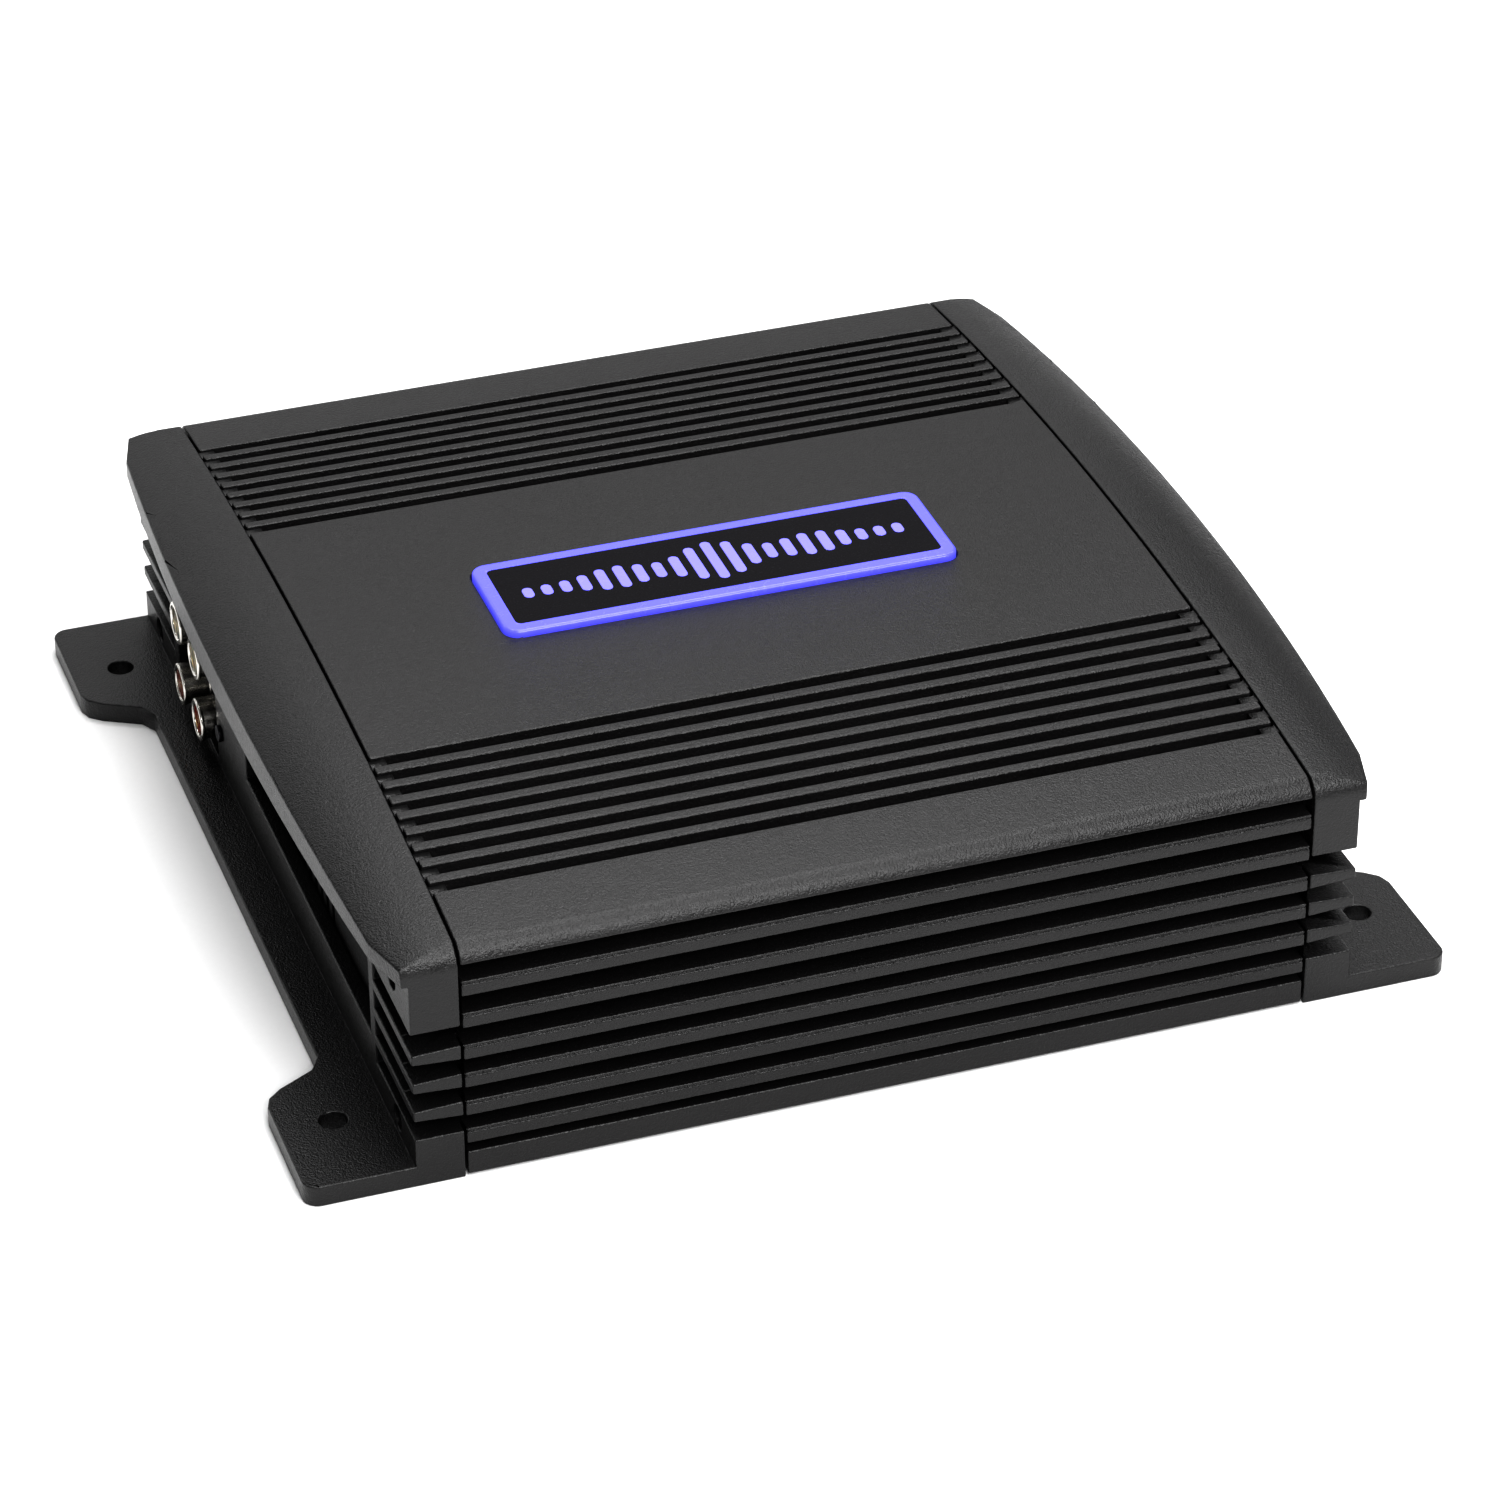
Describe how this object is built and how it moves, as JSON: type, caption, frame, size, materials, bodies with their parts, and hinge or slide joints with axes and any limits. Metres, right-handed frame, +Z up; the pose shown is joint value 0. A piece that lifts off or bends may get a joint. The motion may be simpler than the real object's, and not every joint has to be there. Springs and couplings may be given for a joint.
{
  "type": "car amplifier",
  "caption": "Finned car audio amplifier with a crowned black heatsink, two cast end caps with mounting ears, a lit badge, phono inputs, controls, screw terminals and blade fuses.",
  "frame": {"origin": "centre of the underside, on the plane of the mounting flanges", "axes": "+X along the extrusion from the phono end to the power end, +Y from the front to the back, +Z up"},
  "size_m": [0.2192, 0.2, 0.0553],
  "materials": {
    "case_powder_black": "satin textured black powder coat over aluminium",
    "cast_powder_black": "satin textured black powder coat over aluminium",
    "sheet_black": "matt black paint",
    "badge_blue": "lit translucent acrylic",
    "badge_black": "polished",
    "board_green": "solder resist",
    "ferrite_grey": "matt",
    "copper_winding": "enamelled wire",
    "capacitor_sleeve": "shrink sleeve",
    "component_black": "moulded epoxy",
    "thermal_pad": "silicone sheet",
    "zinc_steel": "zinc plated",
    "screw_black": "black oxide",
    "connector_black": "glass-filled nylon",
    "nickel": "nickel plated",
    "insert_white": "moulded",
    "insert_red": "moulded",
    "contact_gold": "gold flashed",
    "pot_blue": "moulded",
    "knob_black": "moulded",
    "slider_white": "moulded",
    "brass_clamp": "machined",
    "screw_nickel": "nickel plated",
    "fuse_yellow": "tinted clear plastic",
    "fuse_zinc": "zinc alloy",
    "led_green": "diffused epoxy"
  },
  "bodies": {
    "case": {"heatsink": "case_powder_black", "left_end_cap": "cast_powder_black", "right_end_cap": "cast_powder_black", "bottom_plate": "sheet_black", "left_panel": "sheet_black", "right_panel": "sheet_black", "badge_light_guide": "badge_blue", "badge_face": "badge_black", "badge_led_board": "board_green", "main_board": "board_green", "control_board": "board_green", "transformer_core": "ferrite_grey", "transformer_windings": "copper_winding", "supply_capacitors": "capacitor_sleeve", "rail_capacitors": "capacitor_sleeve", "power_transistors": "component_black", "insulator_pads": "thermal_pad", "transistor_clamps": "zinc_steel", "clamp_screws": "zinc_steel", "output_inductors": "copper_winding", "phono_housing": "connector_black", "phono_shells": "nickel", "phono_inserts_white": "insert_white", "phono_inserts_red": "insert_red", "phono_contacts": "contact_gold", "potentiometers": "pot_blue", "switch_bodies": "zinc_steel", "power_terminal_block": "connector_black", "power_clamps": "brass_clamp", "speaker_terminal_block": "connector_black", "speaker_clamps": "brass_clamp", "fuse_holder": "connector_black", "status_leds": "led_green", "board_spacers": "zinc_steel", "board_screws": "zinc_steel", "cap_screws": "screw_black", "base_screws": "screw_black", "panel_screws": "screw_black"},
    "gain_knob": {"gain_knob": "knob_black"},
    "low_pass_knob": {"low_pass_knob": "knob_black"},
    "high_pass_knob": {"high_pass_knob": "knob_black"},
    "bass_knob": {"bass_knob": "knob_black"},
    "crossover_slider": {"crossover_slider": "slider_white"},
    "input_level_slider": {"input_level_slider": "slider_white"},
    "battery_screw": {"battery_screw": "screw_nickel"},
    "remote_screw": {"remote_screw": "screw_nickel"},
    "ground_screw": {"ground_screw": "screw_nickel"},
    "speaker_screw_1": {"speaker_screw_1": "screw_nickel"},
    "speaker_screw_2": {"speaker_screw_2": "screw_nickel"},
    "speaker_screw_3": {"speaker_screw_3": "screw_nickel"},
    "speaker_screw_4": {"speaker_screw_4": "screw_nickel"},
    "upper_fuse": {"upper_fuse_body": "fuse_yellow", "upper_fuse_blades": "fuse_zinc"},
    "lower_fuse": {"lower_fuse_body": "fuse_yellow", "lower_fuse_blades": "fuse_zinc"}
  },
  "joints": [
    {"name": "gain_knob_turn", "type": "hinge", "parent": "case", "child": "gain_knob", "pos_m": [-0.0865, -0.064, 0.033], "axis": [-1, 0, 0], "range_deg": [-140, 140]},
    {"name": "low_pass_knob_turn", "type": "hinge", "parent": "case", "child": "low_pass_knob", "pos_m": [-0.0865, -0.05, 0.033], "axis": [-1, 0, 0], "range_deg": [-140, 140]},
    {"name": "high_pass_knob_turn", "type": "hinge", "parent": "case", "child": "high_pass_knob", "pos_m": [-0.0865, -0.036, 0.033], "axis": [-1, 0, 0], "range_deg": [-140, 140]},
    {"name": "bass_knob_turn", "type": "hinge", "parent": "case", "child": "bass_knob", "pos_m": [-0.0865, -0.022, 0.033], "axis": [-1, 0, 0], "range_deg": [-140, 140]},
    {"name": "crossover_slider_throw", "type": "slide", "parent": "case", "child": "crossover_slider", "axis": [0, 1, 0], "range_m": [0, 0.003]},
    {"name": "input_level_slider_throw", "type": "slide", "parent": "case", "child": "input_level_slider", "axis": [0, 1, 0], "range_m": [0, 0.003]},
    {"name": "battery_screw_clamp", "type": "slide", "parent": "case", "child": "battery_screw", "axis": [0, 0, -1], "range_m": [0, 0.005]},
    {"name": "remote_screw_clamp", "type": "slide", "parent": "case", "child": "remote_screw", "axis": [0, 0, -1], "range_m": [0, 0.005]},
    {"name": "ground_screw_clamp", "type": "slide", "parent": "case", "child": "ground_screw", "axis": [0, 0, -1], "range_m": [0, 0.005]},
    {"name": "speaker_screw_1_clamp", "type": "slide", "parent": "case", "child": "speaker_screw_1", "axis": [0, 0, -1], "range_m": [0, 0.005]},
    {"name": "speaker_screw_2_clamp", "type": "slide", "parent": "case", "child": "speaker_screw_2", "axis": [0, 0, -1], "range_m": [0, 0.005]},
    {"name": "speaker_screw_3_clamp", "type": "slide", "parent": "case", "child": "speaker_screw_3", "axis": [0, 0, -1], "range_m": [0, 0.005]},
    {"name": "speaker_screw_4_clamp", "type": "slide", "parent": "case", "child": "speaker_screw_4", "axis": [0, 0, -1], "range_m": [0, 0.005]},
    {"name": "upper_fuse_pull", "type": "slide", "parent": "case", "child": "upper_fuse", "axis": [1, 0, 0], "range_m": [0, 0.013]},
    {"name": "lower_fuse_pull", "type": "slide", "parent": "case", "child": "lower_fuse", "axis": [1, 0, 0], "range_m": [0, 0.013]}
  ]
}
